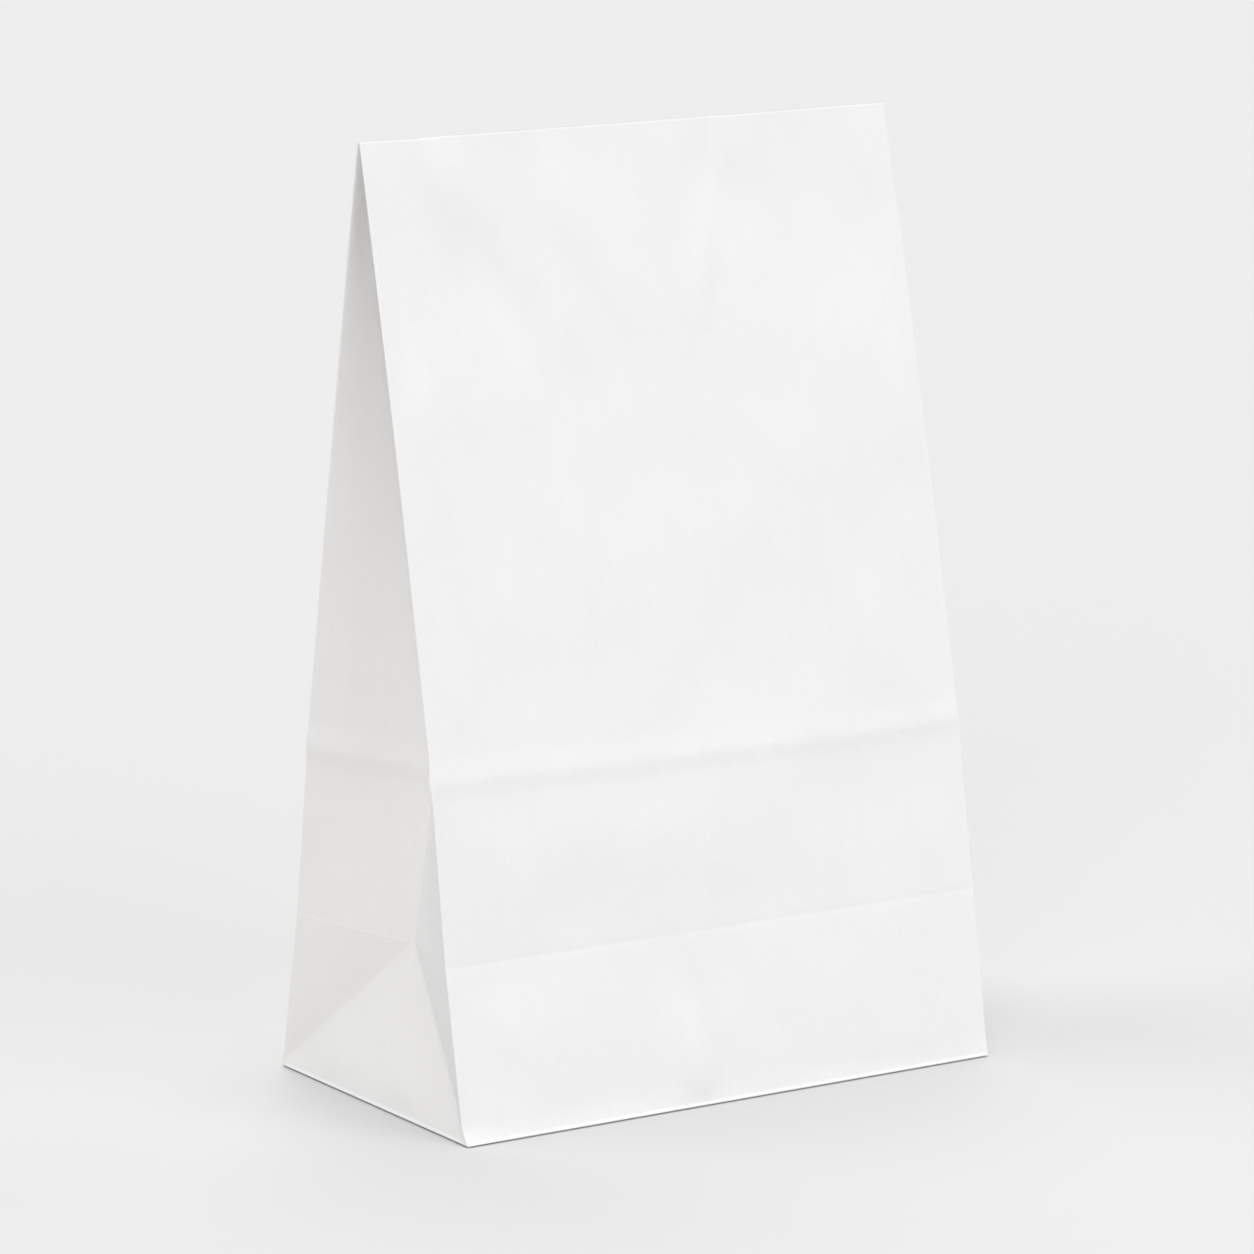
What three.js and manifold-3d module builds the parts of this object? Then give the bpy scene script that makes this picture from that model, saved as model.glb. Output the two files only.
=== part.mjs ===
// A block bottom paper bag that stands empty, with its mouth pressed flat and closed.
//
// Millimetres, +Z up, front panel towards -Y. The origin is the middle of the base, on the surface
// that the bag stands on.
//
// The bag is one folded sheet: a tube of front panel, right gusset, back panel and left gusset, glued
// along the back. Its lower end is folded into a flat base and pasted. It came off the machine flat, so
// three creases run round it: the base edge, a crease half a gusset up, and a raised band one gusset up,
// where the folded base lay against the panels. The front and back panels lean together like a tent,
// and each gusset folds in between them along its middle.
//
// The outer skin is a net of rings, each ring one turn round the tube. The inner skin is the same net,
// moved in by the thickness of the paper.

import * as THREE from "three";
import * as BufferGeometryUtils from "three/addons/utils/BufferGeometryUtils.js";
import Module from "manifold-3d";

// Sizes of the bag
const WIDTH = 180; // of the front and back panels
const GUSSET = 100; // of each gusset, and the depth of the base
const PANEL_LENGTH = 280; // of the front panel, from its base edge to the mouth
const PAPER = 0.15; // thickness of the sheet

// Folds
const FOLD_GAP = 0.3; // air inside a pressed edge fold
const MOUTH_GAP = 0.3; // air between the two halves of a gusset at the mouth
const BASE_ROUND = 0.6; // bevel where the walls turn under into the base

// How the bag stands. A lean is in degrees from upright, towards the middle of the bag.
const FRONT_LEAN_LOW = 12.3; // base edge to half crease
const FRONT_LEAN_MID = 9.5; // half crease to band
const BACK_LEAN_LOW = 10.4;
const BACK_LEAN_MID = 6.2;
const MOUTH_SHIFT = 9.8; // from the middle of the base back to the mouth
const FRONT_BOW = 0.9; // how far the front panel bulges out between band and mouth
const BACK_BOW = 0.3;
const BACK_CREASE_DROP = 2; // the half crease lies this much lower on the back panel

// Gusset
const VERTEX_DEPTH = 14.4; // how far in the middle of a gusset is at the half crease
const VERTEX_SAG = 4.9; // how far that corner has sunk below half a gusset

// Raised band
const BAND = 11; // width
const BAND_HEIGHT = 0.45;

// Pasted base and glued seam
const FLAP_OVERLAP = 30; // of the front base flap over the back one
const FLAP_INSET = 1; // from the base edge to a flap
const SEAM = 16; // width of the glued overlap along the back
const SEAM_INSET = 1; // from the base edge and from the mouth to the ends of the seam

// Smoothness
const UPPER_STRETCHES = 6; // straight stretches between band and mouth

const FOLD = 2 * PAPER + FOLD_GAP; // outside width of an edge fold
const BASE_LIFT = 2 * PAPER; // two flaps lie under the base sheet
const WALL_START = BASE_LIFT + BASE_ROUND; // height at which the walls begin
const MOUTH_THICKNESS = 2 * FOLD + MOUTH_GAP;
const FRONT = -1; // side of the bag that a panel is on, along Y
const BACK = 1;
const BAND_RING = 3; // rings from below: base edge, half crease, band's lower edge, band, upper edge

const paperMaterial = new THREE.MeshStandardMaterial({ color: 0xf1f1f0, roughness: 0.88, metalness: 0 });

// Profiles of the front and back panels, as [y, z] points

// The point that lies a length further up a panel that leans in
function upPanel([y, z], side, length, leanDegrees) {
  const lean = THREE.MathUtils.degToRad(leanDegrees);
  return [y - side * length * Math.sin(lean), z + length * Math.cos(lean)];
}

// Points on a shallow arc between two points, bulging outwards, without its first point
function bowedStretch(start, end, side, bow) {
  const [dy, dz] = [end[0] - start[0], end[1] - start[1]];
  const length = Math.hypot(dy, dz);
  return Array.from({ length: UPPER_STRETCHES }, (_, i) => {
    const u = (i + 1) / UPPER_STRETCHES;
    const out = side * bow * 4 * u * (1 - u);
    return [start[0] + dy * u + (out * dz) / length, start[1] + dz * u - (out * dy) / length];
  });
}

// Base edge, half crease and the three lines of the band
function lowerLine(side, creaseDrop, leanLow, leanMid) {
  const edge = [(side * GUSSET) / 2, WALL_START];
  const crease = upPanel(edge, side, GUSSET / 2 - BASE_ROUND - creaseDrop, leanLow);
  const bandLow = upPanel(crease, side, GUSSET / 2 + creaseDrop - BAND / 2, leanMid);
  const bandHigh = upPanel(bandLow, side, BAND, leanMid);
  const [y, z] = upPanel(bandLow, side, BAND / 2, leanMid);
  return [edge, crease, bandLow, [y + side * BAND_HEIGHT, z], bandHigh];
}

// The front panel has the stated length, and the back panel ends level with it
function panelLines() {
  const front = lowerLine(FRONT, 0, FRONT_LEAN_LOW, FRONT_LEAN_MID);
  const back = lowerLine(BACK, BACK_CREASE_DROP, BACK_LEAN_LOW, BACK_LEAN_MID);
  const [bandY, bandZ] = front.at(-1);
  const frontMouthY = MOUTH_SHIFT - MOUTH_THICKNESS / 2;
  const upperLength = PANEL_LENGTH - GUSSET - BAND / 2;
  const mouthZ = bandZ + Math.sqrt(upperLength ** 2 - (frontMouthY - bandY) ** 2);
  front.push(...bowedStretch(front.at(-1), [frontMouthY, mouthZ], FRONT, FRONT_BOW));
  back.push(...bowedStretch(back.at(-1), [frontMouthY + MOUTH_THICKNESS, mouthZ], BACK, BACK_BOW));
  return { front, back };
}

// The middle of a gusset on each ring above the base, as [depth, y, z]. It is a straight crease from the
// vertex, where the half crease crosses it, up to the mouth, where the gusset is folded flat.
function gussetLine(front, back) {
  const vertexZ = BASE_LIFT + GUSSET / 2 - VERTEX_SAG;
  const mouthZ = front.at(-1)[1];
  return front.slice(1).map(([frontY, frontZ], i) => {
    const [backY, backZ] = back[i + 1];
    const z = i === 0 ? vertexZ : (frontZ + backZ) / 2;
    const u = (z - vertexZ) / (mouthZ - vertexZ);
    const raised = i + 1 === BAND_RING ? BAND_HEIGHT : 0;
    return [VERTEX_DEPTH + u * (GUSSET / 2 - VERTEX_DEPTH) - raised, (frontY + backY) / 2, z];
  });
}

// Net of the outer skin

// One turn round the tube, seen from above against the clock from the front left corner. An edge fold
// is two points, one on the panel and one on the gusset, and so is the fold in a gusset's middle.
function ring([frontY, frontZ], [backY, backZ], [depth, middleY, middleZ]) {
  const side = (sign) => {
    const x = (sign * WIDTH) / 2;
    return [
      [x, frontY, frontZ],
      [x, frontY + FOLD, frontZ],
      [x - sign * depth, middleY - MOUTH_GAP / 2, middleZ],
      [x - sign * depth, middleY + MOUTH_GAP / 2, middleZ],
      [x, backY - FOLD, backZ],
      [x, backY, backZ],
    ];
  };
  const [frontLeft, ...restOfLeft] = side(-1);
  return [frontLeft, ...side(1), ...restOfLeft.reverse()];
}

// The walls' foot: a turn with no middle points, because there the gussets stand flat on the base edge
function footRing([frontY, frontZ], [backY, backZ]) {
  const x = WIDTH / 2;
  return [
    [-x, frontY, frontZ],
    [x, frontY, frontZ],
    [x, frontY + FOLD, frontZ],
    [x, backY - FOLD, backZ],
    [x, backY, backZ],
    [-x, backY, backZ],
    [-x, backY - FOLD, backZ],
    [-x, frontY + FOLD, frontZ],
  ];
}

// The flat rectangle of the base and the bevel from it up to the walls' foot
function baseFaces(corners, foot) {
  const faces = [[...corners].reverse()];
  corners.forEach((corner, i) => {
    const next = corners[(i + 1) % corners.length];
    faces.push([corner, next, foot[2 * i + 1], foot[2 * i]]);
    faces.push([next, foot[(2 * i + 2) % foot.length], foot[2 * i + 1]]);
  });
  return faces;
}

// The foot's points, counted as a full ring's are. Each gusset point also stands for the middle point
// beside it, so a gusset starts as three panels that meet at its vertex: a wide one on the base edge
// and a narrow one on each side of that.
function asFullRing(foot) {
  const [frontLeft, frontRight, rightFront, rightBack, backRight, backLeft, leftBack, leftFront] = foot;
  const right = [frontRight, rightFront, rightFront, rightBack, rightBack, backRight];
  const left = [backLeft, leftBack, leftBack, leftFront, leftFront];
  return [frontLeft, ...right, ...left];
}

// The faces between one ring and the next. A point that counts twice makes its face a triangle.
function ringFaces(lower, upper) {
  return lower.map((from, k) => {
    const next = (k + 1) % lower.length;
    return [...new Set([from, lower[next], upper[next], upper[k]])];
  });
}

function outerNet(front, back) {
  const points = [];
  const add = (list) => list.map((point) => points.push(point) - 1);
  const [x, y] = [WIDTH / 2 - BASE_ROUND, GUSSET / 2 - BASE_ROUND];
  const corners = add([[-x, -y, BASE_LIFT], [x, -y, BASE_LIFT], [x, y, BASE_LIFT], [-x, y, BASE_LIFT]]);
  const foot = add(footRing(front[0], back[0]));
  const rings = gussetLine(front, back).map((middle, i) => add(ring(front[i + 1], back[i + 1], middle)));
  const faces = [...baseFaces(corners, foot), ...ringFaces(asFullRing(foot), rings[0])];
  for (let i = 1; i < rings.length; i += 1) {
    faces.push(...ringFaces(rings[i - 1], rings[i]));
  }
  return { points: points.map((point) => new THREE.Vector3(...point)), faces, mouth: rings.at(-1) };
}

// Closed walls and prisms

// Normal of a face that may be slightly twisted
function faceNormal(points, face) {
  const sum = new THREE.Vector3();
  face.forEach((index, k) => {
    sum.add(points[index].clone().cross(points[face[(k + 1) % face.length]]));
  });
  return sum.normalize();
}

// The same points moved in, so that every face moves in by the thickness. A point's move m solves
// n . m = 1 for the normals n of the faces that meet there, and the small term picks the shortest m.
function movedIn({ points, faces }, thickness) {
  const shortest = 1e-7;
  const meeting = points.map(() => []);
  for (const face of faces) {
    const normal = faceNormal(points, face);
    face.forEach((index) => meeting[index].push(normal));
  }
  return points.map((point, index) => {
    const outer = [0, 0, 0, 0, 0, 0, 0, 0, 0];
    const sum = new THREE.Vector3();
    for (const normal of meeting[index]) {
      const n = normal.toArray();
      outer.forEach((_, k) => {
        outer[k] += n[Math.floor(k / 3)] * n[k % 3];
      });
      sum.add(normal);
    }
    const matrix = new THREE.Matrix3(...outer.map((value, k) => value + (k % 4 === 0 ? shortest : 0)));
    return point.clone().addScaledVector(sum.applyMatrix3(matrix.invert()), -thickness);
  });
}

function geometryFrom(points, faces) {
  const triangles = faces.flatMap((face) =>
    face.slice(2).flatMap((_, k) => [face[0], face[k + 1], face[k + 2]]),
  );
  return new THREE.BufferGeometry().setFromPoints(points).setIndex(triangles);
}

// A face seen from its other side. It still starts at the same point, so a twisted face is cut into
// triangles along the same diagonal on both skins, which keeps them from crossing.
function turnedOver([first, ...rest]) {
  return [first, ...rest.reverse()];
}

// Outer skin, inner skin and the rim of cut paper that joins them at the mouth
function wallGeometry(net, thickness) {
  const count = net.points.length;
  const inner = net.faces.map((face) => turnedOver(face.map((index) => index + count)));
  const rim = ringFaces(net.mouth, net.mouth.map((index) => index + count));
  return geometryFrom([...net.points, ...movedIn(net, thickness)], [...net.faces, ...inner, ...rim]);
}

// A [y, z] line moved outwards by a distance
function besideLine(line, side, distance) {
  return line.map(([y, z], i) => {
    const [before, after] = [line[Math.max(i - 1, 0)], line[Math.min(i + 1, line.length - 1)]];
    const along = new THREE.Vector2(after[0] - before[0], after[1] - before[1]).normalize();
    return [y + side * distance * along.y, z - side * distance * along.x];
  });
}

// The line with a length cut off each end
function shortened(line, cut) {
  const moved = (from, to) => {
    const u = cut / Math.hypot(to[0] - from[0], to[1] - from[1]);
    return [from[0] + u * (to[0] - from[0]), from[1] + u * (to[1] - from[1])];
  };
  return [moved(line[0], line[1]), ...line.slice(1, -1), moved(line.at(-1), line.at(-2))];
}

// The second layer of paper where the sheet's two edges are glued, sunk half into the back panel
function seamGeometry(back) {
  const line = shortened(back, SEAM_INSET);
  const [sunk, proud] = [besideLine(line, BACK, -PAPER / 2), besideLine(line, BACK, PAPER)];
  const points = line.flatMap((_, i) => [
    new THREE.Vector3(-SEAM / 2, ...sunk[i]),
    new THREE.Vector3(SEAM / 2, ...sunk[i]),
    new THREE.Vector3(SEAM / 2, ...proud[i]),
    new THREE.Vector3(-SEAM / 2, ...proud[i]),
  ]);
  const turns = line.map((_, i) => [0, 1, 2, 3].map((k) => 4 * i + k));
  const faces = [[...turns[0]].reverse(), turns.at(-1)];
  for (let i = 1; i < turns.length; i += 1) {
    faces.push(...ringFaces(turns[i - 1], turns[i]));
  }
  return geometryFrom(points, faces);
}

// A base flap: it starts along the front or back base edge and narrows at 45 degrees from the corners,
// past the middle of the base by half the overlap
function flapGeometry(side, bottom, top) {
  const start = GUSSET / 2 - BASE_ROUND - FLAP_INSET;
  const halfStart = WIDTH / 2 - BASE_ROUND - 2 * FLAP_INSET;
  const end = -FLAP_OVERLAP / 2;
  const halfEnd = halfStart - (start - end);
  const outline = new THREE.Shape([
    new THREE.Vector2(-halfStart, side * start),
    new THREE.Vector2(halfStart, side * start),
    new THREE.Vector2(halfEnd, side * end),
    new THREE.Vector2(-halfEnd, side * end),
  ]);
  const geometry = new THREE.ExtrudeGeometry(outline, { depth: top - bottom, bevelEnabled: false });
  return geometry.translate(0, 0, bottom);
}

const wasm = await Module();
wasm.setup();

function solidFrom(geometry) {
  geometry.deleteAttribute("normal");
  geometry.deleteAttribute("uv");
  const merged = BufferGeometryUtils.mergeVertices(geometry);
  const vertProperties = new Float32Array(merged.attributes.position.array);
  const triVerts = new Uint32Array(merged.index.array);
  return new wasm.Manifold(new wasm.Mesh({ numProp: 3, vertProperties, triVerts }));
}

function meshFrom(solid, name, material) {
  const { vertProperties, triVerts } = solid.getMesh();
  const geometry = new THREE.BufferGeometry();
  geometry.setAttribute("position", new THREE.BufferAttribute(vertProperties, 3));
  geometry.setIndex(new THREE.BufferAttribute(triVerts, 1));
  geometry.computeVertexNormals();
  const mesh = new THREE.Mesh(geometry, material);
  mesh.name = name;
  return mesh;
}

// Each flap reaches a little way up into the base sheet, that it is pasted to
function paperBag() {
  const { front, back } = panelLines();
  const wall = solidFrom(wallGeometry(outerNet(front, back), PAPER));
  const seam = solidFrom(seamGeometry(back));
  const backFlap = solidFrom(flapGeometry(BACK, PAPER, BASE_LIFT + PAPER / 3));
  const frontFlap = solidFrom(flapGeometry(FRONT, 0, BASE_LIFT + PAPER / 2));
  return wall.add(seam).add(backFlap).add(frontFlap);
}

const bag = new THREE.Group();
bag.add(meshFrom(paperBag(), "paper_bag", paperMaterial));

export default bag;
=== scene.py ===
"""A block bottom paper bag that stands empty on its folded base, with its mouth pressed flat.

The bag is one sheet. A point on it has two sheet coordinates: u runs round the tube from the front left
corner, over the front panel, the right gusset, the back panel and the left gusset, and v runs up from the
base edge. Every fold is a bend of a line through a few named points, spread over a short length.
Lengths are in millimetres until the mesh is made.
"""

import math

import bpy
import numpy as np
from mathutils import Matrix, Vector


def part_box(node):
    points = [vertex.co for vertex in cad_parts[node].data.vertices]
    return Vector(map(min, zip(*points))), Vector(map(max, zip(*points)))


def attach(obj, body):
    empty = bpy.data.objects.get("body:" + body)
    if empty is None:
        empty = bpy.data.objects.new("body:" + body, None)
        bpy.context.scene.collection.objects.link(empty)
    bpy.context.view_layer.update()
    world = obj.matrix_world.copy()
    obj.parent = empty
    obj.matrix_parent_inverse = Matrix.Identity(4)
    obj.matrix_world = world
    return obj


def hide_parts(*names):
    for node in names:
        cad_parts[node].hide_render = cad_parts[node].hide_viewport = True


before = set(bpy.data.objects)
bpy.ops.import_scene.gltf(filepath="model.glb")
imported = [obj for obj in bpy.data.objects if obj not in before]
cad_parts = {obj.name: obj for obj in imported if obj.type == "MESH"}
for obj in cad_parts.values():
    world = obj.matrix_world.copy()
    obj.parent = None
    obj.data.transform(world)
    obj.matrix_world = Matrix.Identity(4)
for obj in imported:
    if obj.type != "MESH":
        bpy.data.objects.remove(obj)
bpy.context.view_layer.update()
bag_low, bag_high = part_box("paper_bag")

MM = 0.001
FRONT, BACK = -1, 1  # signs of y
LEFT, RIGHT = -1, 1  # signs of x

# Sizes of the bag
WIDTH = (bag_high.x - bag_low.x) / MM
GUSSET = (bag_high.y - bag_low.y) / MM
HEIGHT = bag_high.z / MM
PANEL_LENGTH = 280.0
PAPER = 0.15
HALF = PAPER / 2
PAIR = WIDTH + GUSSET  # a panel and the gusset after it
AROUND = 2 * PAIR
FOLD = 0.45  # between the two layers' middles at an edge fold
MOUTH_MIDDLE = 9.8  # of the pressed mouth, along y
MOUTH_PANEL = 1.5 * FOLD  # from there to a panel, past half a gusset's fold and one edge fold
MOUTH_TOP = HEIGHT - 1.2  # the sheet has sunk this much where it was handled
MOUTH_INSET = 0.7  # of the mouth's corners, since the pressed panels curl a little

# Stations up the sheet
TURN = -0.55  # where a wall turns under into the base
BASE_END = -1.6  # where the turned part meets the flat base
FLARE = 5.0  # top of the strip that flares out to the base edge
HALF_CREASE = GUSSET / 2
BAND = 11.0  # width of the raised band
BAND_LOW = GUSSET - BAND / 2
BAND_HIGH = GUSSET + BAND / 2
BASE_LIFT = 2 * PAPER  # two flaps lie under the base sheet

# Where each panel edge passes, as (y, z) at the flare, the half crease and the two sides of the band
EDGE_LINES = {
    (FRONT, LEFT): [(-48.5, 4.9), (-38.3, 48.5), (-31.3, 94.0), (-29.6, 104.6)],
    (FRONT, RIGHT): [(-48.5, 4.8), (-40.6, 48.6), (-32.5, 92.8), (-30.5, 103.0)],
    (BACK, LEFT): [(48.8, 4.6), (41.4, 47.3), (36.2, 93.6), (35.0, 104.4)],
    (BACK, RIGHT): [(48.8, 4.6), (41.6, 47.5), (36.4, 93.6), (35.2, 104.4)],
}
BOW = {FRONT: 0.9, BACK: 0.3}  # bulge of each panel between band and mouth
VERTEX = (14.4, 1.0, 45.4)  # how far in, y and z of the middle of a gusset at the half crease

# Roundness of the bends: half the length over which a bend is spread
EDGE_ROUND = 0.2
DIAGONAL_ROUND = 1.1
VERTEX_ROUND = 1.2
CREASE_ROUND = 0.8
FLARE_ROUND = 1.4
BAND_ROUND = 1.6
TURN_ROUND = 0.45

# Raised band
BAND_HEIGHT = 0.55  # on the front and back panels
BAND_HEIGHT_SIDE = 0.95  # on the gussets
BAND_RIDGE = GUSSET - 0.8  # its highest line
BAND_WANDER = [(3, 1.0, 0.35), (7, 0.0, 0.25)]  # how that line waves round the tube: waves, start, height
BAND_UPPER, BAND_LOWER = 7.0, 4.8  # width of its upper slope and of its steeper lower one
BAND_SOFT = 0.1  # share of a rounded roof in its straight one
BAND_FADE, BAND_AT_FOLD = 0.8, 0.35  # how soon it sinks towards an edge fold, and to what share of its height

# Seam and base flaps
SEAM = 16.0  # width of the glued overlap along the back
SEAM_CUT = 0.2  # width of the step at its cut edge
SEAM_SOFT = 5.0  # width of the slope at its other edge
SEAM_START = 3.0  # how far up from the base edge it takes to show in full
FLAP_OVERLAP = 30.0  # of the front base flap over the back one
FLAP_INSET = 1.6  # of a flap's root from the base edge
FLAP_END_INSET = 2.6  # of the root's ends from the base corners
FLAP_PAPER = 0.98 * PAPER  # a little thinner than the paper, so that stacked flaps stay apart

# Undulations: seed, number of waves, and the shortest wave up and round the tube
LONG_WAVES, LONG_HEIGHT = (5, 9, 60, 70), 0.16
SHORT_WAVES, SHORT_HEIGHT = (11, 12, 26, 34), 0.09
EASE_ACROSS, EASE_UP = 9.0, 8.0  # from an upright fold and from the base edge to where they show in full

# Marks of handling
PINCH = 1.4  # how far the lower front left corner is pushed in just above its base edge
PINCH_REACH = 13.0
PINCH_UP = [(-0.2, 0), (FLARE - 1, 0.92), (FLARE + 1, 0.97), (HALF_CREASE, 0)]  # v and share of the pinch
VALLEY, VALLEY_WIDTH = 0.12, 0.9  # depth and half width of the pressed line at the half crease of a panel
LIP = 0.3  # how far the base edge stands out past the sheet just above it
LIP_ROUND, LIP_REACH = 0.45, 12.0  # how soon it does, and how far up that dies out
LIP_FADE = 6.0  # from a corner to where the lip shows in full
PRESSED_LOW, PRESSED_HIGH = 222.0, 264.0  # between these the layers come to lie on each other
SETTLE = 0.42  # how far each panel sinks in at the mouth's middle, where no gusset lies between them
SETTLE_REACH = 9.0  # from a gusset's middle crease to where it has sunk in full
SWELLING, SWELLING_HEIGHT = ((68, 44), (76, 16)), 1.1  # middle and half width in u and in v
FAINT_FOLD, FAINT_HEIGHT = ((2, 91), (28, 73), 2.2), 0.2  # its ends as (u, v), and half width
LEANING_PATCHES = [  # low end, high end as (u, v), half width, and degrees that the patch leans back
    ((42, 232), (17, 282), 7, -5.0),
    ((73, 222), (63, 264), 6, -5.5),
    ((80, 180), (66, 225), 8, -2.4),
    ((12, 190), (4, 252), 4, 5.0),
    ((110, 240), (117, 278), 3.5, 4.5),
    ((130, 252), (122, 274), 5, -3.5),
    ((178, 175), (172, 232), 8, 3.5),
    ((173, 246), (172, 270), 6, -2.0),
    ((56, 150), (52, 204), 2.5, 3.5),
    ((126, 163), (118, 197), 5, -3.5),
    ((79, 6), (73, 48), 4.5, 4.6),
    ((90, 10), (84, 42), 4, -2.6),
    ((17, 30), (8, 48), 6, 4.0),
    ((150, 120), (158, 170), 16, 1.6),
    ((152, 190), (160, 268), 26, 2.6),
    ((152, 60), (152, 92), 22, 2.2),
    ((152, 10), (154, 46), 24, 2.4),
    ((108, 10), (104, 46), 14, -2.4),
    ((46, 8), (42, 44), 14, -2.2),
]

# Grid
GUSSET_STEPS = 30  # in half a gusset
GUSSET_STEP = HALF_CREASE / GUSSET_STEPS  # the same along and up it, so the diagonals run through its points
PANEL_STEP = 2.65
UPPER_STEP = 2.9


def rounded_ramp(x, spread):
    """0 below -spread, x above spread, and the parabola (x + spread)^2 / (4 spread) in between."""
    middle = (x + spread) ** 2 / (4 * spread)
    return np.where(x <= -spread, 0.0, np.where(x >= spread, x, middle))


def bent_line(at, stations, points, spreads):
    """A line through the points at their stations. Each bend adds its change of slope times a rounded
    ramp, so it is spread over its own length. Stations and points may differ from row to row."""
    at, stations = np.asarray(at, float), np.asarray(stations, float)
    points, spreads = np.asarray(points, float), np.asarray(spreads, float)
    spans = np.maximum(np.diff(stations, axis=-1), 1e-6)
    slopes = np.diff(points, axis=-2) / spans[..., None]
    line = points[..., :1, :] + slopes[..., :1, :] * (at - stations[..., :1])[..., None]
    for k in range(1, stations.shape[-1] - 1):
        ramp = rounded_ramp(at - stations[..., k : k + 1], spreads[k])
        change = slopes[..., k, :] - slopes[..., k - 1, :]
        line = line + ramp[..., None] * change[..., None, :]
    return line


def panel_edge(v, face, side):
    """One edge of a panel, as x, y, z at each v: from the flat base round the base edge, up over the flare,
    the half crease and the band, and on to the mouth. Above the band it bows out by its bow times the
    parabola 4 s (1 - s), with s the share of the way from the band to the mouth."""
    x, y = side * (WIDTH / 2 - HALF), face * (GUSSET / 2 - HALF)
    inset = TURN - BASE_END
    foot = [(x - side * inset, y - face * inset, BASE_LIFT + HALF), (x, y, BASE_LIFT + HALF)]
    mouth = (x - side * MOUTH_INSET, MOUTH_MIDDLE + face * MOUTH_PANEL, MOUTH_TOP)
    points = foot + [(x, py, pz) for py, pz in EDGE_LINES[face, side]] + [mouth]
    stations = [BASE_END, TURN, FLARE, HALF_CREASE, BAND_LOW, BAND_HIGH, PANEL_LENGTH]
    spreads = [0, TURN_ROUND, FLARE_ROUND, CREASE_ROUND, BAND_ROUND, BAND_ROUND, 0]
    edge = bent_line(v, stations, points, spreads)
    share = np.clip((v - BAND_HIGH) / (PANEL_LENGTH - BAND_HIGH), 0, 1)
    edge[:, 1] += face * BOW[face] * 4 * share * (1 - share)
    return edge


def gusset_middle(v, face, side, edge):
    """The front or back half of the fold in a gusset's middle, as x, y, z at each v. Up to the vertex it is
    the diagonal from the base corner, and above it the straight crease to the mouth. Below the fold's own
    width it stays on the gusset's edge."""
    depth, y, z = VERTEX
    out = WIDTH / 2 - HALF
    apart = face * FOLD / 2
    start = np.array([np.interp(FOLD, v, edge[:, k]) for k in range(3)])
    vertex = (side * (out - depth), y + apart, z)
    mouth = (side * (out - GUSSET / 2), MOUTH_MIDDLE + apart, MOUTH_TOP)
    line = bent_line(v, [FOLD, HALF_CREASE, PANEL_LENGTH], [start, vertex, mouth], [0, VERTEX_ROUND, 0])
    return np.where((v <= FOLD)[:, None], edge, line)


def ring_corners(v):
    """The corners that each row passes through: their stations as (rows, corners), their points as (rows,
    corners, 3) and their roundness. A row starts one fold before the front left corner and ends one panel
    after it, so that it closes."""
    sides = (LEFT, RIGHT)
    fold = np.array([0, FOLD, 0])
    front = {side: panel_edge(v, FRONT, side) for side in sides}
    back = {side: panel_edge(v, BACK, side) for side in sides}
    front_in = {side: front[side] + fold for side in sides}
    back_in = {side: back[side] - fold for side in sides}
    middle_front = {side: gusset_middle(v, FRONT, side, front_in[side]) for side in sides}
    middle_back = {side: gusset_middle(v, BACK, side, back_in[side]) for side in sides}
    diagonal = np.clip(v, FOLD, (GUSSET - FOLD) / 2)
    right, rear, left = WIDTH, PAIR, PAIR + WIDTH
    corners = [
        (-FOLD, front_in[LEFT], EDGE_ROUND),
        (0, front[LEFT], EDGE_ROUND),
        (right, front[RIGHT], EDGE_ROUND),
        (right + FOLD, front_in[RIGHT], EDGE_ROUND),
        (right + diagonal, middle_front[RIGHT], DIAGONAL_ROUND),
        (rear - diagonal, middle_back[RIGHT], DIAGONAL_ROUND),
        (rear - FOLD, back_in[RIGHT], EDGE_ROUND),
        (rear, back[RIGHT], EDGE_ROUND),
        (left, back[LEFT], EDGE_ROUND),
        (left + FOLD, back_in[LEFT], EDGE_ROUND),
        (left + diagonal, middle_back[LEFT], DIAGONAL_ROUND),
        (AROUND - diagonal, middle_front[LEFT], DIAGONAL_ROUND),
        (AROUND - FOLD, front_in[LEFT], EDGE_ROUND),
        (AROUND, front[LEFT], EDGE_ROUND),
        (AROUND + right, front[RIGHT], EDGE_ROUND),
    ]
    stations, points, spreads = zip(*corners)
    stations = [np.broadcast_to(station, v.shape) for station in stations]
    return np.stack(stations, 1), np.stack(points, 1), spreads


def both_ends(length, near, step):
    """Stations from 0 to length, close together near both ends and a step apart in between."""
    inner = np.linspace(near[-1], length - near[-1], round((length - 2 * near[-1]) / step) + 1)
    return np.unique(np.round(np.concatenate([near, inner, length - np.array(near)]), 4))


def panel_columns():
    """Columns of the front and of the back panel, with a close pair at each edge of the seam."""
    seam_edges = [WIDTH / 2 + sign * (SEAM / 2 + shift) for sign in (-1, 1) for shift in (-0.12, 0.12)]
    return np.unique(np.concatenate([both_ends(WIDTH, [0, 0.2, 0.6, 1.6], PANEL_STEP), seam_edges]))


def gusset_columns():
    """Columns of a gusset: steps that the diagonals run through, and close ones at its edges and middle."""
    edge = [0, 0.12, FOLD / 2, 0.33, FOLD, 0.65]
    steps = np.arange(1, GUSSET_STEPS) * GUSSET_STEP
    middle = GUSSET / 2 - np.array([0.6, FOLD / 2, 0])
    half = np.concatenate([edge, steps, middle])
    return np.unique(np.round(np.concatenate([half, GUSSET - half]), 4))


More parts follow.
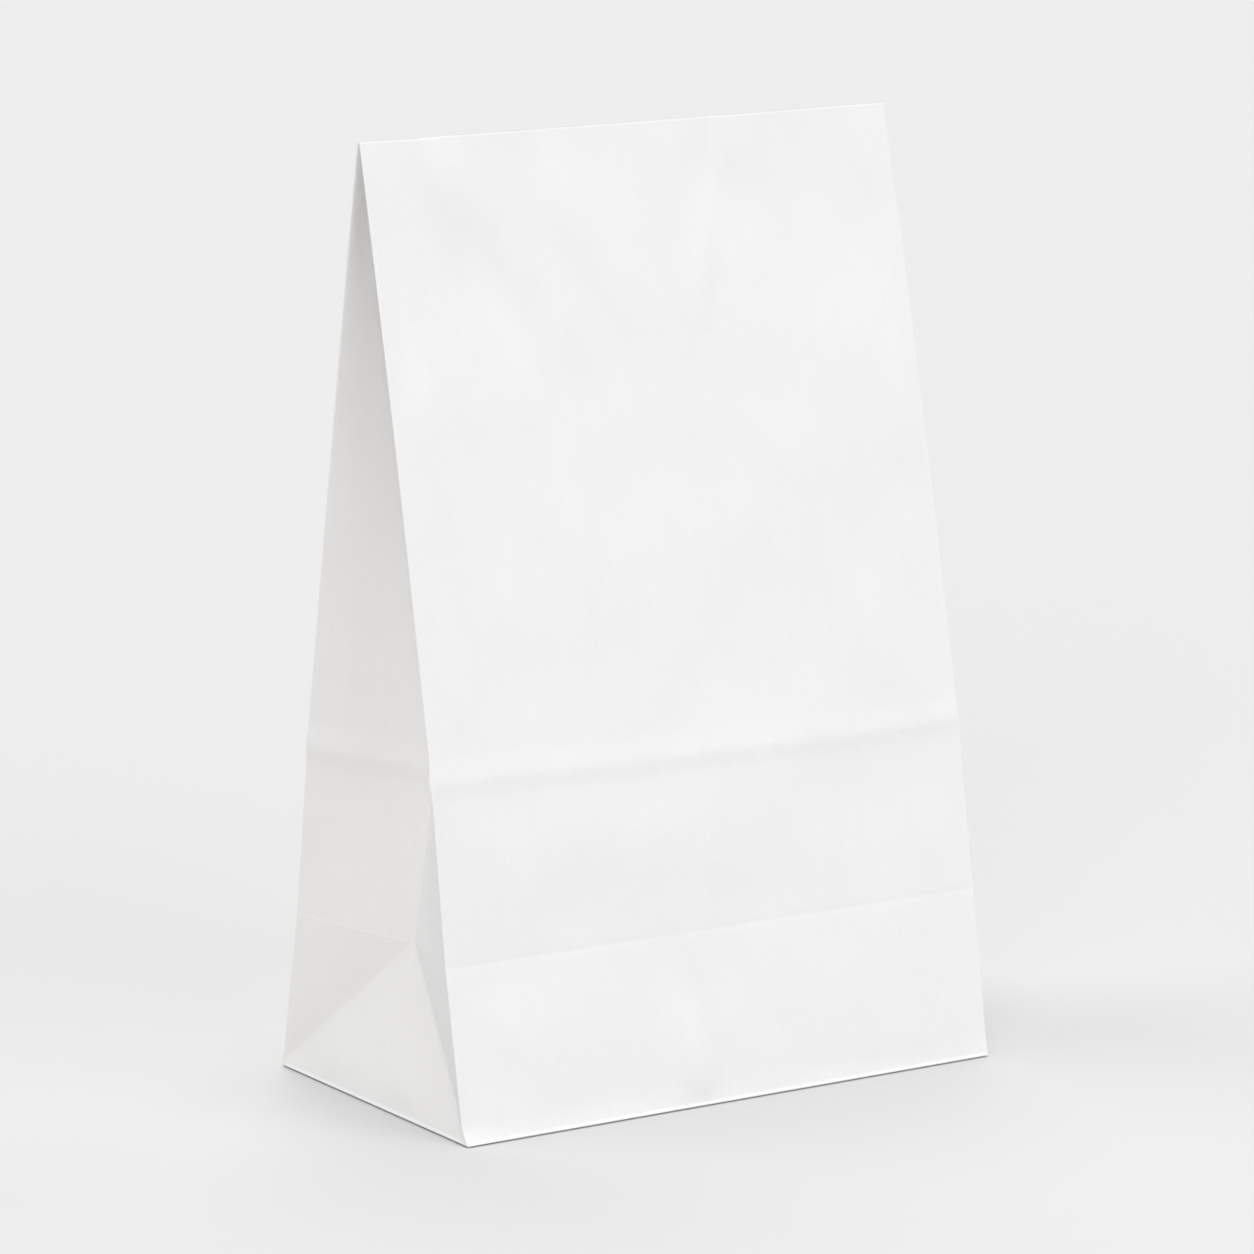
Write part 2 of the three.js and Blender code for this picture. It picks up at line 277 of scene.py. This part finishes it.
def sheet_rows():
    """Rows of the sheet, close together at the base edge, the half crease, the band and the mouth."""
    foot = [BASE_END, -1.25, -1.0, -0.8, TURN, -0.3, -0.1, 0, 0.2, FOLD, 0.7, 1.0]
    low = np.arange(1, GUSSET_STEPS) * GUSSET_STEP
    crease = HALF_CREASE + np.array([-1, -0.5, 0, 0.5, 1])
    middle = np.linspace(HALF_CREASE + 2, BAND_LOW - 4, 14)
    band = np.linspace(BAND_LOW - 2.4, BAND_HIGH + 2.4, 14)
    high = np.linspace(BAND_HIGH + 4.5, PANEL_LENGTH - 1, round((PANEL_LENGTH - BAND_HIGH) / UPPER_STEP))
    mouth = [PANEL_LENGTH - 0.4, PANEL_LENGTH]
    return np.concatenate([foot, low, crease, middle, band, high, mouth])


def bump(x, middle, half_width):
    """A smooth hill of height 1: the bell curve of the distance from the middle."""
    return np.exp(-(((x - middle) / half_width) ** 2))


def smooth_step(share):
    """0 up to 0, 1 from 1 on, and the S curve 3 s^2 - 2 s^3 in between."""
    share = np.clip(share, 0, 1)
    return share * share * (3 - 2 * share)


def on_panel(u):
    """Whether a point is on the front or back panel, and not on a gusset."""
    return (u % PAIR) < WIDTH


def to_edge_fold(u):
    """Distance to the nearest of the four edge folds between panels and gussets."""
    pair = u % PAIR
    return np.minimum(np.minimum(pair, np.abs(pair - WIDTH)), PAIR - pair)


def along_and_across(u, v, low, high):
    """A point's distance along the stretch from its low end and its distance to the side of it, both by
    projecting onto it, and the stretch's length."""
    (u0, v0), (u1, v1) = low, high
    length = math.hypot(u1 - u0, v1 - v0)
    along = ((u - u0) * (u1 - u0) + (v - v0) * (v1 - v0)) / length
    across = ((u - u0) * (v1 - v0) - (v - v0) * (u1 - u0)) / length
    return along, across, length


def ridge(u, v, low, high, half_width):
    """A hill of height 1 along a stretch: a bell curve across it, fading out over 0.3 of it at each end."""
    along, across, length = along_and_across(u, v, low, high)
    fade = np.clip(along / (0.3 * length), 0, 1) * np.clip((length - along) / (0.3 * length), 0, 1)
    return bump(across, 0, half_width) * smooth_step(fade)


def leaning_patch(u, v, low, high, half_width, degrees):
    """A long patch of the sheet that leans back: its height falls in proportion to the distance up it from
    its middle, and bell curves blend it in, 0.6 of its length wide along it and its half width across."""
    along, across, length = along_and_across(u, v, low, high)
    along = along - length / 2
    slope = -math.tan(math.radians(degrees))
    return slope * along * bump(along, 0, 0.6 * length) * bump(across, 0, half_width)


def waves(u, v, seed, count, shortest_up, shortest_round):
    """Gentle waves: sines of the sheet's own coordinates in many directions, of height about 1. They close
    round the tube, because each has a whole number of lengths in it."""
    chance = np.random.default_rng(seed)
    most = round(AROUND / shortest_round)
    total = np.zeros(np.broadcast(u, v).shape)
    for _ in range(count):
        turns = chance.integers(-most, most + 1)
        up = chance.uniform(0.2, 1) / shortest_up * chance.choice([-1, 1])
        total = total + np.sin(2 * math.pi * (turns * u / AROUND + up * v) + chance.uniform(0, 2 * math.pi))
    return total / math.sqrt(count / 2)


def band_relief(u, v):
    """The raised band: a low roof round the tube, a little wavy, with a long upper and a short lower slope.
    It stands higher on the gussets, and sinks at the edge folds."""
    angle = 2 * math.pi * u / AROUND
    wander = sum(height * np.sin(turns * angle + start) for turns, start, height in BAND_WANDER)
    above = v - (BAND_RIDGE + wander)
    roof = np.clip(1 - np.where(above > 0, above / BAND_UPPER, -above / BAND_LOWER), 0, 1)
    roof = BAND_SOFT * smooth_step(roof) + (1 - BAND_SOFT) * roof
    fade = np.clip(to_edge_fold(u) / BAND_FADE, BAND_AT_FOLD, 1)
    return np.where(on_panel(u), BAND_HEIGHT, BAND_HEIGHT_SIDE) * roof * fade


def seam_relief(u, v):
    """The glued overlap up the back: a step of one paper at its cut edge, and a soft slope at the other."""
    across = u - (PAIR + WIDTH / 2)
    cut = np.clip((across + SEAM / 2) / SEAM_CUT + 0.5, 0, 1)
    soft = np.clip((SEAM / 2 - across) / SEAM_SOFT, 0, 1)
    return PAPER * cut * soft * np.clip(v / SEAM_START, 0, 1)


def valley_relief(u, v):
    """The line pressed into a panel at the half crease: a bell curve across it."""
    return -VALLEY * on_panel(u) * bump(v, HALF_CREASE, VALLEY_WIDTH)


def lip_relief(u, v):
    """The base edge stands out as a thin lip, because the sheet just above it is pressed in: at once, by 1
    less a bell curve, and less and less further up, by an exponential. It dies out at the corners, where
    the sheet is doubled."""
    up = np.maximum(v, 0)
    depth = LIP * (1 - bump(up, 0, LIP_ROUND)) * np.exp(-up / LIP_REACH)
    return -depth * smooth_step(to_edge_fold(u) / LIP_FADE)


def pressed_together(v):
    """0 in the open part of the bag and 1 near the mouth, where the layers lie on each other and so share
    the front panel's relief."""
    return smooth_step((v - PRESSED_LOW) / (PRESSED_HIGH - PRESSED_LOW))


def settle_relief(u, v):
    """Near the mouth the panels sink towards each other between the gussets' middle creases."""
    from_middle = np.abs(u % PAIR - WIDTH / 2)
    between = smooth_step((WIDTH / 2 - GUSSET / 2 - from_middle) / SETTLE_REACH)
    return -SETTLE * pressed_together(v) * between


def crisp_relief(u, v):
    """The pressed forms: the band, the half crease, the lip at the base, the settled mouth and the seam."""
    pressed = band_relief(u, v) + valley_relief(u, v) + lip_relief(u, v)
    return pressed + settle_relief(u, v) + seam_relief(u, v)


def front_relief(u, v):
    """What handling left on the front panel: the leaning patches, a swelling above the half crease in its
    left part, and a faint diagonal fold under the band."""
    patches = sum(leaning_patch(u, v, *patch) for patch in LEANING_PATCHES)
    swelling = SWELLING_HEIGHT * bump(u, *SWELLING[0]) * bump(v, *SWELLING[1])
    return patches + swelling + FAINT_HEIGHT * ridge(u, v, *FAINT_FOLD)


def ease_at_folds(u, v):
    """0 on the upright folds and the base edge, which stay straight, and 1 away from them."""
    to_middle_crease = np.abs(u % PAIR - WIDTH - GUSSET / 2)
    to_fold = np.minimum(to_edge_fold(u), to_middle_crease)
    return smooth_step(to_fold / EASE_ACROSS) * smooth_step(v / EASE_UP)


def soft_relief(u, v):
    """The soft undulations of the sheet: long and short waves, and the marks on the front panel."""
    soft = LONG_HEIGHT * waves(u, v, *LONG_WAVES) + SHORT_HEIGHT * waves(u, v, *SHORT_WAVES)
    return ease_at_folds(u, v) * (soft + (u < WIDTH) * front_relief(u, v))


def corner_pinch(u, v):
    """How far the lower front left corner is pushed back, along y: it is strongest just above the base edge
    at the corner, dies out round the tube by an exponential, and up to the half crease by straight lines."""
    from_corner = np.minimum(u, AROUND - u)
    up = np.interp(v, *zip(*PINCH_UP))
    return PINCH * up * np.exp(-from_corner / PINCH_REACH)


def unit(vectors):
    """The vectors over their lengths."""
    return vectors / np.linalg.norm(vectors, axis=-1, keepdims=True)


def sheet_normals(points):
    """Outward normals of the closed grid: the change along u crossed with the change along v."""
    along = np.roll(points, -1, axis=1) - np.roll(points, 1, axis=1)
    up = np.gradient(points, axis=0)
    return unit(np.cross(along, up))


def sheet_points(u, v):
    """The middle of the sheet on its grid, as (rows, columns, 3): the folded form, plus the relief along
    its normals. Near the mouth every layer takes the soft relief of the front panel there, along y."""
    stations, corners, spreads = ring_corners(v)
    folded = bent_line(u, stations, corners, spreads)
    across, up = u[None, :], v[:, None]
    folded[..., 1] += corner_pinch(across, up)
    together = pressed_together(up)
    proud = crisp_relief(across, up) + (1 - together) * soft_relief(across, up)
    points = folded + proud[..., None] * sheet_normals(folded)
    on_front = np.clip(folded[..., 0] + WIDTH / 2, 0, WIDTH - 1e-6)
    points[..., 1] -= together * soft_relief(on_front, up)
    return points


def split_quads(quads, rising=None):
    """Each quad as two triangles, cut from its first point where rising is true or isn't given, and
    otherwise from its second."""
    if rising is None:
        rising = np.ones(len(quads), bool)
    a, b, c, d = quads[rising].T
    e, f, g, h = quads[~rising].T
    halves = [(a, b, c), (a, c, d), (f, g, h), (f, h, e)]
    return np.concatenate([np.stack(half, 1) for half in halves])


def wall_quads(rows, columns):
    """The grid's cells, counter-clockwise from outside. The last column joins the first."""
    grid = np.arange(rows * columns).reshape(rows, columns)
    after = np.roll(grid, -1, axis=1)
    return np.stack([grid[:-1], after[:-1], after[1:], grid[1:]], -1).reshape(-1, 4)


def base_index(columns, across, along, first_new):
    """Point numbers of the flat base as (along, across): its rim is the sheet's lowest row, and the
    points inside are new ones."""
    grid = np.zeros((along, across), int)
    grid[1:-1, 1:-1] = first_new + np.arange((along - 2) * (across - 2)).reshape(along - 2, across - 2)
    ring = np.arange(columns)
    turn = [0, across - 1, across + along - 2, 2 * across + along - 3, columns]
    grid[0, :] = ring[turn[0] : turn[1] + 1]
    grid[:, -1] = ring[turn[1] : turn[2] + 1]
    grid[-1, ::-1] = ring[turn[2] : turn[3] + 1]
    grid[::-1, 0] = np.append(ring[turn[3] : turn[4]], 0)
    return grid


def base_inside(rim, base):
    """The points inside the flat base: each has the x of the front rim and the y of the right rim there."""
    x, y = rim[base[0, 1:-1], 0], rim[base[1:-1, -1], 1]
    z = np.full((len(y), len(x)), BASE_LIFT + HALF)
    return np.stack([*np.meshgrid(x, y), z], -1).reshape(-1, 3)


def skin_triangles(u, rows, base):
    """The triangles of one skin, walls first and then the base. Each wall cell is cut along the direction
    of the diagonal fold in its half of a gusset."""
    rising = np.tile((u % PAIR) - WIDTH < GUSSET / 2, rows - 1)
    walls = split_quads(wall_quads(rows, len(u)), rising)
    cells = np.stack([base[:-1, :-1], base[1:, :-1], base[1:, 1:], base[:-1, 1:]], -1)
    return np.concatenate([walls, split_quads(cells.reshape(-1, 4))])


def rim_triangles(rows, columns, inner):
    """The cut edge at the mouth, between the top row and the same row from point number inner on."""
    top = (rows - 1) * columns + np.arange(columns)
    after = np.roll(top, -1)
    return split_quads(np.stack([top, after, after + inner, top + inner], 1))


def sheet_map(u, v, count, triangles):
    """u and v at each triangle's corners. The points inside the base take those of its front rim's middle,
    and a triangle that joins the last column to the first has its low u raised by once round the tube."""
    point_uv = np.tile([WIDTH / 2, BASE_END], (count, 1))
    point_uv[: len(u) * len(v)] = np.stack([np.tile(u, len(v)), np.repeat(v, len(u))], 1)
    corner_uv = np.concatenate([point_uv, point_uv])[triangles]
    wraps = np.ptp(corner_uv[..., 0], axis=1) > AROUND / 2
    corner_uv[wraps, :, 0] += np.where(corner_uv[wraps, :, 0] < AROUND / 2, AROUND, 0)
    return corner_uv


def new_piece(name, points, triangles, material, corner_uv=None, flat=None):
    """A mesh object at the origin, in metres, from points in millimetres."""
    mesh = bpy.data.meshes.new(name)
    mesh.vertices.add(len(points))
    mesh.vertices.foreach_set("co", (points * MM).astype(np.float32).ravel())
    mesh.loops.add(3 * len(triangles))
    mesh.loops.foreach_set("vertex_index", triangles.astype(np.int32).ravel())
    mesh.polygons.add(len(triangles))
    mesh.polygons.foreach_set("loop_start", np.arange(0, 3 * len(triangles), 3, dtype=np.int32))
    mesh.update(calc_edges=True)
    smooth = np.ones(len(triangles), bool) if flat is None else ~flat
    mesh.polygons.foreach_set("use_smooth", smooth)
    if corner_uv is not None:
        layer = mesh.uv_layers.new(name="sheet")
        layer.data.foreach_set("uv", corner_uv.astype(np.float32).ravel())
    mesh.validate()
    mesh.materials.append(material)
    piece = bpy.data.objects.new(name, mesh)
    bpy.context.scene.collection.objects.link(piece)
    return piece


def bag_sheet(material):
    """The folded sheet: an outer and an inner skin half a paper off its middle, joined by the cut rim."""
    panel, gusset = panel_columns(), gusset_columns()
    starts = (0, WIDTH, PAIR, PAIR + WIDTH)
    u = np.concatenate([start + part[:-1] for start, part in zip(starts, (panel, gusset, panel, gusset))])
    v = sheet_rows()
    middle = sheet_points(u, v)
    normals = sheet_normals(middle).reshape(-1, 3)
    base = base_index(len(u), len(panel), len(gusset), len(normals))
    inside = base_inside(middle[0], base)
    down = np.tile([0.0, 0.0, -1.0], (len(inside), 1))
    points = np.concatenate([middle.reshape(-1, 3), inside])
    out = np.concatenate([normals, down])
    skin = skin_triangles(u, len(v), base)
    rim = rim_triangles(len(v), len(u), len(points))
    triangles = np.concatenate([skin, skin[:, ::-1] + len(points), rim])
    flat = np.arange(len(triangles)) >= 2 * len(skin)
    skins = np.concatenate([points + HALF * out, points - HALF * out])
    corner_uv = sheet_map(u, v, len(points), triangles) * MM
    return new_piece("bag_sheet", skins, triangles, material, corner_uv, flat)


def flap_plate(name, face, bottom, material):
    """A base flap: a thin plate that starts at the front or back base edge and narrows at 45 degrees from
    the corners, past the middle of the base by half the overlap. It is a grid of t along it and s across,
    where the half width falls by as much as the distance from the edge grows."""
    start = GUSSET / 2 - FLAP_INSET
    reach = start + FLAP_OVERLAP / 2
    t, s = np.linspace(0, 1, 21)[:, None], np.linspace(-1, 1, 41)
    x = s * (WIDTH / 2 - FLAP_END_INSET - reach * t)
    y = np.broadcast_to(face * (start - reach * t), x.shape)
    heights = (bottom, bottom + FLAP_PAPER)
    points = np.concatenate([np.stack([x, y, np.full_like(x, z)], -1).reshape(-1, 3) for z in heights])
    grid = np.arange(x.size).reshape(x.shape)
    cells = np.stack([grid[:-1, :-1], grid[:-1, 1:], grid[1:, 1:], grid[1:, :-1]], -1).reshape(-1, 4)
    ring = np.concatenate([grid[0, :-1], grid[:-1, -1], grid[-1, :0:-1], grid[:0:-1, 0]])
    after = np.roll(ring, -1)
    sides = np.stack([ring, after, after + x.size, ring + x.size], 1)
    quads = np.concatenate([cells[:, ::-1], cells + x.size, sides])
    if face == BACK:
        quads = quads[:, ::-1]
    triangles = split_quads(quads)
    flat = np.ones(len(triangles), bool)
    return new_piece(name, points, triangles, material, points[triangles][..., :2] * MM, flat)


# Paper
PAPER_DARK = (0.856, 0.852, 0.848, 1)
PAPER_LIGHT = (0.884, 0.880, 0.876, 1)
# lighter colour for the folds: partly wear, partly a painted highlight where a fold would catch the light
PAPER_WORN_AND_HIGHLIT = (0.965, 0.963, 0.960, 1)
CUT_EDGE = (0.62, 0.61, 0.60, 1)  # at the mouth
CUT_WIDTH = 0.03  # of that edge, down the sheet
CLOUDS = (30, 7, 0.66)  # scale for a metre, detail and roughness of the noise
GRAIN, GRAIN_STRETCH = (230, 3, 0.6), (1, 1, 0.2)
FIBRES, FIBRE_STRETCH = (1500, 4, 0.8), (1, 1, 0.6)
CLOUD_SHARE, GRAIN_SHARE, FIBRE_SHARE = 0.3, 0.15, 0.55  # in the paper's shade
SHADE_DARK, SHADE_LIGHT = 0.41, 0.59  # shades that have the dark and the light colour in full
FIBRE_RELIEF, GRAIN_RELIEF = 0.6, 0.4  # shares of the fibres and the grain in the fine relief
RELIEF, RELIEF_STRENGTH = 0.08, 0.5  # its height, and how strongly it shows
ROUGH, CLOUD_ROUGH = 0.84, 0.1  # roughness of the surface, and how much the clouds add
SHINE = 0.3
GUSSET_SPLIT = 2.0  # y that parts the front half of a gusset from its back half
BASE_LINE = 0.1  # v of the line along the base edge that is painted lighter, partly as wear and partly as a painted highlight
FOLD_WEAR_AND_HIGHLIGHT = {  # how much of the lighter colour shows on a fold, and how far to the side of it: partly wear, partly a painted highlight as if the fold caught the light
    "base edge": (0.9, 0.6),
    "front edge fold": (0.7, 0.6),
    "diagonal": (0.42, 0.7),
    "half crease": (0.36, 0.6),
    "middle crease": (0.22, 0.5),
}


class Graph:
    """Short calls for a material's nodes."""

    def __init__(self, material):
        self.nodes = material.node_tree.nodes
        self.links = material.node_tree.links

    def put(self, kind, inputs=None, **settings):
        """A new node. Each input may be a value or another node's output."""
        node = self.nodes.new(kind)
        for name, value in settings.items():
            setattr(node, name, value)
        for key, value in (inputs or {}).items():
            self.feed(node.inputs[key], value)
        return node

    def feed(self, socket, value):
        """Gives a socket a value, or links it to another node's output."""
        if isinstance(value, bpy.types.NodeSocket):
            self.links.new(value, socket)
        else:
            socket.default_value = value

    def math(self, operation, *values):
        """One operation on up to three values."""
        return self.put("ShaderNodeMath", dict(enumerate(values)), operation=operation).outputs[0]

    def axes(self, vector):
        """The x, y and z of a vector."""
        return self.put("ShaderNodeSeparateXYZ", {"Vector": vector}).outputs

    def noise(self, vector, scale, detail, roughness):
        """Noise from 0 to 1, about 0.5 in the middle."""
        inputs = {"Vector": vector, "Scale": scale, "Detail": detail, "Roughness": roughness}
        return self.put("ShaderNodeTexNoise", inputs).outputs["Fac"]

    def stretched(self, vector, scale):
        """The vector times a scale for each axis, so that a small scale draws a pattern out along it."""
        return self.put("ShaderNodeMapping", {"Vector": vector, "Scale": scale}).outputs[0]

    def mixed(self, factor, first, second):
        """A colour between two others: the first at factor 0 and the second at 1."""
        node = self.put("ShaderNodeMix", data_type="RGBA")
        for number, value in ((0, factor), (6, first), (7, second)):
            self.feed(node.inputs[number], value)
        return node.outputs[2]

    def blend(self, *parts):
        """The sum of each part's share times its value."""
        total = 0.0
        for share, value in parts:
            total = self.math("MULTIPLY_ADD", value, share, total)
        return total

    def near(self, distance, width):
        """1 where the distance is 0, falling in an S curve to 0 at the width."""
        away = self.math("ABSOLUTE", distance)
        inputs = {"Value": away, "From Min": 0.0, "From Max": width, "To Min": 1.0, "To Max": 0.0}
        return self.put("ShaderNodeMapRange", inputs, interpolation_type="SMOOTHSTEP").outputs[0]

    def worn_and_highlit(self, distance, fold):
        """How much wear and painted highlight the sheet has at a distance from one of the listed folds."""
        most, width = FOLD_WEAR_AND_HIGHLIGHT[fold]
        return self.math("MULTIPLY", self.near(distance, width * MM), most)


def crease_lines(graph, sheet, place):
    """How much wear and painted highlight the sheet has along its folds, from its own coordinates: the most
    that any fold gives there. The half crease is lightened on the back half of a gusset only, and of the edge
    folds only the front ones are, where the painted highlights stand in for light on those folds."""
    u, v, _ = graph.axes(sheet)
    y = graph.axes(place)[1]
    pair = graph.math("MODULO", u, PAIR * MM)
    from_middle = graph.math("ABSOLUTE", graph.math("SUBTRACT", pair, (WIDTH + GUSSET / 2) * MM))
    on_gusset = graph.math("LESS_THAN", from_middle, GUSSET / 2 * MM)
    at_back = graph.math("GREATER_THAN", y, GUSSET_SPLIT * MM)
    at_front = graph.math("LESS_THAN", y, GUSSET_SPLIT * MM)
    half = graph.worn_and_highlit(graph.math("SUBTRACT", v, HALF_CREASE * MM), "half crease")
    half = graph.math("MULTIPLY", half, at_back)
    slant = graph.math("SUBTRACT", graph.math("ADD", from_middle, v), GUSSET / 2 * MM)
    diagonal = graph.worn_and_highlit(slant, "diagonal")
    middle = graph.worn_and_highlit(from_middle, "middle crease")
    on_side = graph.math("MAXIMUM", graph.math("MAXIMUM", half, diagonal), middle)
    on_side = graph.math("MULTIPLY", on_side, on_gusset)
    edge = graph.worn_and_highlit(graph.math("SUBTRACT", from_middle, GUSSET / 2 * MM), "front edge fold")
    edge = graph.math("MULTIPLY", edge, at_front)
    foot = graph.worn_and_highlit(graph.math("SUBTRACT", v, BASE_LINE * MM), "base edge")
    return graph.math("MAXIMUM", graph.math("MAXIMUM", on_side, edge), foot)


def paper_material():
    """White kraft paper: matt, faintly cloudy, with a weak grain up the bag, fine fibres, and folds painted
    lighter, partly as wear and partly as painted highlights.
    """
    material = bpy.data.materials.new("white_paper")
    material.use_nodes = True
    graph = Graph(material)
    place = graph.put("ShaderNodeTexCoord").outputs["Object"]
    sheet = graph.put("ShaderNodeUVMap", uv_map="sheet").outputs[0]
    clouds = graph.noise(place, *CLOUDS)
    grain = graph.noise(graph.stretched(place, GRAIN_STRETCH), *GRAIN)
    fibres = graph.noise(graph.stretched(place, FIBRE_STRETCH), *FIBRES)
    shade = graph.blend((CLOUD_SHARE, clouds), (GRAIN_SHARE, grain), (FIBRE_SHARE, fibres))
    span = {"Value": shade, "From Min": SHADE_DARK, "From Max": SHADE_LIGHT}
    colour = graph.mixed(graph.put("ShaderNodeMapRange", span).outputs[0], PAPER_DARK, PAPER_LIGHT)
    # the folds take a lighter colour: partly wear, partly painted highlights
    colour = graph.mixed(crease_lines(graph, sheet, place), colour, PAPER_WORN_AND_HIGHLIT)
    at_mouth = graph.math("GREATER_THAN", graph.axes(sheet)[1], (PANEL_LENGTH - CUT_WIDTH) * MM)
    height = graph.blend((FIBRE_RELIEF, fibres), (GRAIN_RELIEF, grain))
    relief = {"Height": height, "Strength": RELIEF_STRENGTH, "Distance": RELIEF * MM}
    shader = graph.nodes["Principled BSDF"]
    graph.feed(shader.inputs["Base Color"], graph.mixed(at_mouth, colour, CUT_EDGE))
    graph.feed(shader.inputs["Roughness"], graph.math("MULTIPLY_ADD", clouds, CLOUD_ROUGH, ROUGH))
    graph.feed(shader.inputs["Specular IOR Level"], SHINE)
    graph.feed(shader.inputs["Normal"], graph.put("ShaderNodeBump", relief).outputs[0])
    return material


# Studio
FLOOR_COLOUR = (0.626, 0.625, 0.625, 1)
FLOOR_SIZE = 14.0  # metres
CAMERA_PLACE = (-1021.6, -1506.5, 506.6)
CAMERA_YAW = 34.011  # degrees from straight ahead towards +X
CAMERA_PITCH = 11.732  # degrees down
CAMERA_ROLL = 0.598
CAMERA_LENS, CAMERA_SENSOR = 186.6, 36
SKY = 0.409
SKY_COLOUR = (0.98, 0.98, 0.985, 1)
LAMP_ANGLE = 30  # degrees across, so that every shadow is soft
LAMPS = {  # degrees round from the front towards the right, degrees up, strength, and colour
    "overhead": (0, 89, 1.45, (0.99, 0.985, 0.985)),
    "back_left": (-125, 55, 0.6, (0.98, 0.99, 1)),
    "back_right": (150, 55, 0.609, (1, 0.99, 0.98)),
    "front_left": (-45, 20, 0.572, (1, 0.97, 0.915)),
    "front": (0, 30, 0.33, (0.82, 0.86, 0.97)),
    "front_right": (30, 25, 0.47, (1, 0.995, 0.99)),
    "right": (100, 30, 0.176, (1, 0.97, 0.9)),
}


def floor_material():
    """A plain grey without any shine."""
    material = bpy.data.materials.new("studio_floor")
    material.use_nodes = True
    shader = material.node_tree.nodes["Principled BSDF"]
    shader.inputs["Base Color"].default_value = FLOOR_COLOUR
    shader.inputs["Roughness"].default_value = 1.0
    shader.inputs["Specular IOR Level"].default_value = 0.0
    return material


def studio_floor():
    """A square that reaches far past the picture on every side."""
    half = FLOOR_SIZE / 2 / MM
    corners = np.array([(-half, -half, 0), (half, -half, 0), (half, half, 0), (-half, half, 0)])
    floor = new_piece("floor", corners, np.array([[0, 1, 2], [0, 2, 3]]), floor_material())


def camera():
    """A camera that looks along its yaw and pitch, rolled about that line."""
    yaw, pitch, roll = (math.radians(a) for a in (CAMERA_YAW, CAMERA_PITCH, CAMERA_ROLL))
    ahead = Vector((math.sin(yaw) * math.cos(pitch), math.cos(yaw) * math.cos(pitch), -math.sin(pitch)))
    level = Vector((math.cos(yaw), -math.sin(yaw), 0))
    above = level.cross(ahead)
    right = level * math.cos(roll) + above * math.sin(roll)
    up = above * math.cos(roll) - level * math.sin(roll)
    data = bpy.data.cameras.new("camera")
    data.lens = CAMERA_LENS
    data.sensor_width = CAMERA_SENSOR
    view = bpy.data.objects.new("camera", data)
    axes = Matrix((right, up, -ahead)).transposed().to_4x4()
    view.matrix_world = Matrix.Translation(Vector(CAMERA_PLACE) * MM) @ axes
    bpy.context.scene.collection.objects.link(view)
    bpy.context.scene.camera = view


def studio_light():
    """An even sky, and a wide, far lamp in each direction that LAMPS names."""
    world = bpy.data.worlds.new("studio")
    world.use_nodes = True
    background = world.node_tree.nodes["Background"]
    background.inputs["Color"].default_value = SKY_COLOUR
    background.inputs["Strength"].default_value = SKY
    bpy.context.scene.world = world
    for name, (around, above, strength, colour) in LAMPS.items():
        turn, rise = math.radians(around), math.radians(above)
        towards = (math.sin(turn) * math.cos(rise), -math.cos(turn) * math.cos(rise), math.sin(rise))
        data = bpy.data.lights.new(name, "SUN")
        data.energy = strength
        data.color = colour
        data.angle = math.radians(LAMP_ANGLE)
        sun = bpy.data.objects.new(name, data)
        sun.rotation_euler = Vector(towards).to_track_quat("Z", "Y").to_euler()
        bpy.context.scene.collection.objects.link(sun)


bpy.context.scene.view_settings.view_transform = "Standard"
camera()
studio_light()
studio_floor()

paper = paper_material()
pieces = [
    bag_sheet(paper),
    flap_plate("back_flap", BACK, PAPER, paper),
    flap_plate("front_flap", FRONT, 0.0, paper),
]
for piece in pieces:
    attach(piece, "root")
    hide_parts("paper_bag")
